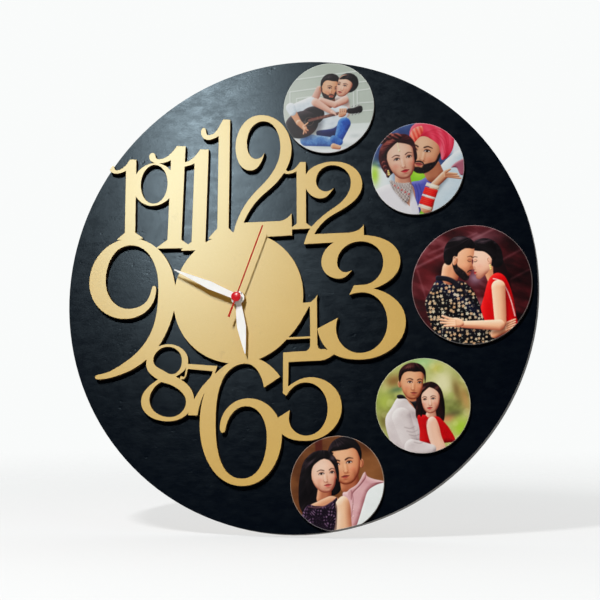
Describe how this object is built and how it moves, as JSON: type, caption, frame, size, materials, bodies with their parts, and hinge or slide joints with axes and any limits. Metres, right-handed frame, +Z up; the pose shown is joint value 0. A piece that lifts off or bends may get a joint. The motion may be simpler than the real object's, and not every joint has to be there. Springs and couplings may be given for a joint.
{
  "type": "wall clock",
  "caption": "Round black wall clock with a gold one-piece cut-out of large numerals, an off-centre quartz movement with three hands, and round photo discs down one side.",
  "frame": {"origin": "centre of the hanger's head hole, on the hanger's outer face", "axes": "+Z up, +X to the right of someone facing the dial, +Y towards the wall; the dial faces -Y"},
  "size_m": [0.4059, 0.0432, 0.406],
  "materials": {
    "black_board": "satin black paint over fibreboard",
    "gold_paint": "satin gold paint with dark laser-cut edges",
    "disc_board": "bare fibreboard with a dark laser-cut edge",
    "print_1": "printed film, gloss",
    "print_2": "printed film, gloss",
    "print_3": "printed film, gloss",
    "print_4": "printed film, gloss",
    "print_5": "printed film, gloss",
    "case_plastic": "matt black moulding",
    "gasket_rubber": "matt",
    "bright_brass": "turned",
    "white_acetal": "natural",
    "knob_plastic": "matt black moulding",
    "arbor_steel": "polished",
    "magnet": "sintered",
    "soft_iron": "plain",
    "copper_wire": "enamelled wire",
    "pcb_green": "solder mask",
    "chip_black": "potting blob",
    "crystal_can": "drawn can",
    "contact_steel": "nickel plate",
    "cell_jacket": "plain dark jacket with a bare nub",
    "hand_white": "white enamel",
    "hand_red": "red enamel",
    "cap_red": "gloss red",
    "zinc_steel": "zinc plate"
  },
  "bodies": {
    "clock": {"dial_board": "black_board", "numeral_plate": "gold_paint", "photo_base_1": "disc_board", "photo_base_2": "disc_board", "photo_base_3": "disc_board", "photo_base_4": "disc_board", "photo_base_5": "disc_board", "photo_print_1": "print_1", "photo_print_2": "print_2", "photo_print_3": "print_3", "photo_print_4": "print_4", "photo_print_5": "print_5", "case_front": "case_plastic", "case_cover": "case_plastic", "rubber_gasket": "gasket_rubber", "brass_washer": "bright_brass", "hex_nut": "bright_brass", "middle_plate": "white_acetal", "stator": "soft_iron", "coil_core": "soft_iron", "coil_bobbin": "white_acetal", "coil_winding": "copper_wire", "circuit_board": "pcb_green", "circuit_chip": "chip_black", "crystal": "crystal_can", "contact_plus": "contact_steel", "contact_minus": "contact_steel", "hanger_plate": "zinc_steel", "hanger_screws": "zinc_steel"},
    "hour": {"hour_wheel": "white_acetal", "hour_hand": "hand_white"},
    "minute": {"minute_pipe": "bright_brass", "minute_hand": "hand_white"},
    "centre": {"centre_wheel": "bright_brass"},
    "motion": {"motion_wheel": "white_acetal"},
    "setting": {"setting_knob": "knob_plastic"},
    "second": {"second_wheel": "arbor_steel", "second_hand": "hand_red", "second_cap": "cap_red"},
    "third": {"third_wheel": "white_acetal"},
    "relay": {"relay_wheel": "white_acetal"},
    "rotor": {"rotor_pinion": "arbor_steel", "rotor_magnet": "magnet"},
    "cell": {"battery": "cell_jacket"}
  },
  "joints": [
    {"name": "minute_turn", "type": "hinge", "parent": "clock", "child": "minute", "pos_m": [-0.05011, 0, -0.16277], "axis": [0, 1, 0], "continuous": true},
    {"name": "hour_turn", "type": "hinge", "parent": "clock", "child": "hour", "pos_m": [-0.05011, 0, -0.16277], "axis": [0, 1, 0], "continuous": true},
    {"name": "motion_turn", "type": "hinge", "parent": "clock", "child": "motion", "pos_m": [-0.05719, 0, -0.15569], "axis": [0, 1, 0], "continuous": true},
    {"name": "knob_turn", "type": "hinge", "parent": "clock", "child": "setting", "pos_m": [-0.06532, 0, -0.14756], "axis": [0, 1, 0], "continuous": true},
    {"name": "second_turn", "type": "hinge", "parent": "clock", "child": "second", "pos_m": [-0.05011, 0, -0.16277], "axis": [0, 1, 0], "continuous": true},
    {"name": "third_turn", "type": "hinge", "parent": "clock", "child": "third", "pos_m": [-0.03931, 0, -0.16277], "axis": [0, 1, 0], "continuous": true},
    {"name": "centre_turn", "type": "hinge", "parent": "clock", "child": "centre", "pos_m": [-0.05011, 0, -0.16277], "axis": [0, 1, 0], "continuous": true},
    {"name": "relay_turn", "type": "hinge", "parent": "clock", "child": "relay", "pos_m": [-0.04778, 0, -0.15407], "axis": [0, 1, 0], "continuous": true},
    {"name": "rotor_turn", "type": "hinge", "parent": "clock", "child": "rotor", "pos_m": [-0.04135, 0, -0.14867], "axis": [0, 1, 0], "continuous": true},
    {"name": "cell_slide", "type": "slide", "parent": "clock", "child": "cell", "axis": [0, 1, 0], "range_m": [0, 0.02]}
  ],
  "couplings": [
    {"joint": "motion_turn", "follows": "minute_turn", "ratio": -0.33333},
    {"joint": "hour_turn", "follows": "minute_turn", "ratio": 0.083333},
    {"joint": "knob_turn", "follows": "minute_turn", "ratio": 0.625},
    {"joint": "third_turn", "follows": "second_turn", "ratio": -0.125},
    {"joint": "centre_turn", "follows": "second_turn", "ratio": 0.016667},
    {"joint": "relay_turn", "follows": "second_turn", "ratio": -5},
    {"joint": "rotor_turn", "follows": "second_turn", "ratio": 30}
  ]
}
